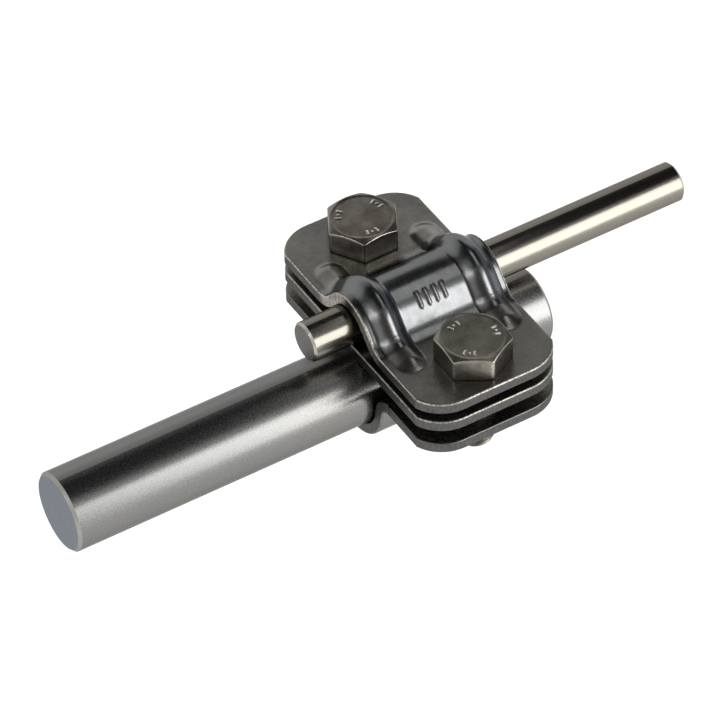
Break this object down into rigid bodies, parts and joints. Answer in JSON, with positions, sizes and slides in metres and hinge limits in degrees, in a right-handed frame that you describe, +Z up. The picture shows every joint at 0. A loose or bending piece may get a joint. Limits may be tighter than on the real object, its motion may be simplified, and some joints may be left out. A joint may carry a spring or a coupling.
{
  "type": "test joint clamp",
  "caption": "Bolted clamp of pressed steel plates that joins a thin round rod to a thick one, so that the joint can be opened for testing.",
  "frame": {"origin": "on the thick rod's axis, in the middle of the clamp", "axes": "+X along both rods towards the thin rod's long end, +Y from the front bolt to the rear bolt, +Z up, from the thick rod to the thin one and to the bolt heads"},
  "size_m": [0.1368, 0.0568, 0.0335],
  "materials": {
    "plate_steel": "pressed stainless sheet, semi-gloss, with lighter sheared edges",
    "bolt_steel": "cold-headed stainless steel, satin",
    "rod_steel": "drawn stainless bar, satin with a fine grain along its length",
    "conductor_steel": "drawn stainless wire, polished, slightly warm"
  },
  "bodies": {
    "earth_rod": {"earth_rod": "rod_steel"},
    "bottom_plate": {"bottom_plate": "plate_steel"},
    "middle_plate": {"middle_plate": "plate_steel"},
    "top_plate": {"top_plate": "plate_steel"},
    "front_bolt": {"front_bolt": "bolt_steel"},
    "rear_bolt": {"rear_bolt": "bolt_steel"},
    "conductor_rod": {"conductor_rod": "conductor_steel"}
  },
  "joints": [
    {"name": "clamp_slide", "type": "slide", "parent": "earth_rod", "child": "bottom_plate", "axis": [1, 0, 0], "range_m": [-0.0632, 0.0106]},
    {"name": "top_plate_lift", "type": "slide", "parent": "bottom_plate", "child": "top_plate", "axis": [0, 0, 1], "range_m": [0, 0.00875]},
    {"name": "middle_plate_lift", "type": "slide", "parent": "bottom_plate", "child": "middle_plate", "axis": [0, 0, 1], "range_m": [0, 0.00438]},
    {"name": "front_bolt_turn", "type": "hinge", "parent": "top_plate", "child": "front_bolt", "pos_m": [0, -0.0195, 0], "axis": [0, 0, 1], "range_deg": [0, 2520]},
    {"name": "rear_bolt_turn", "type": "hinge", "parent": "top_plate", "child": "rear_bolt", "pos_m": [0, 0.0195, 0], "axis": [0, 0, 1], "range_deg": [0, 2520]},
    {"name": "conductor_slide", "type": "slide", "parent": "middle_plate", "child": "conductor_rod", "axis": [1, 0, 0], "range_m": [-0.0436, 0.0091]}
  ],
  "couplings": [
    {"joint": "front_bolt_turn", "follows": "top_plate_lift", "rad_per_m": 5026.5},
    {"joint": "rear_bolt_turn", "follows": "top_plate_lift", "rad_per_m": 5026.5},
    {"joint": "middle_plate_lift", "follows": "top_plate_lift", "ratio": 0.5}
  ]
}
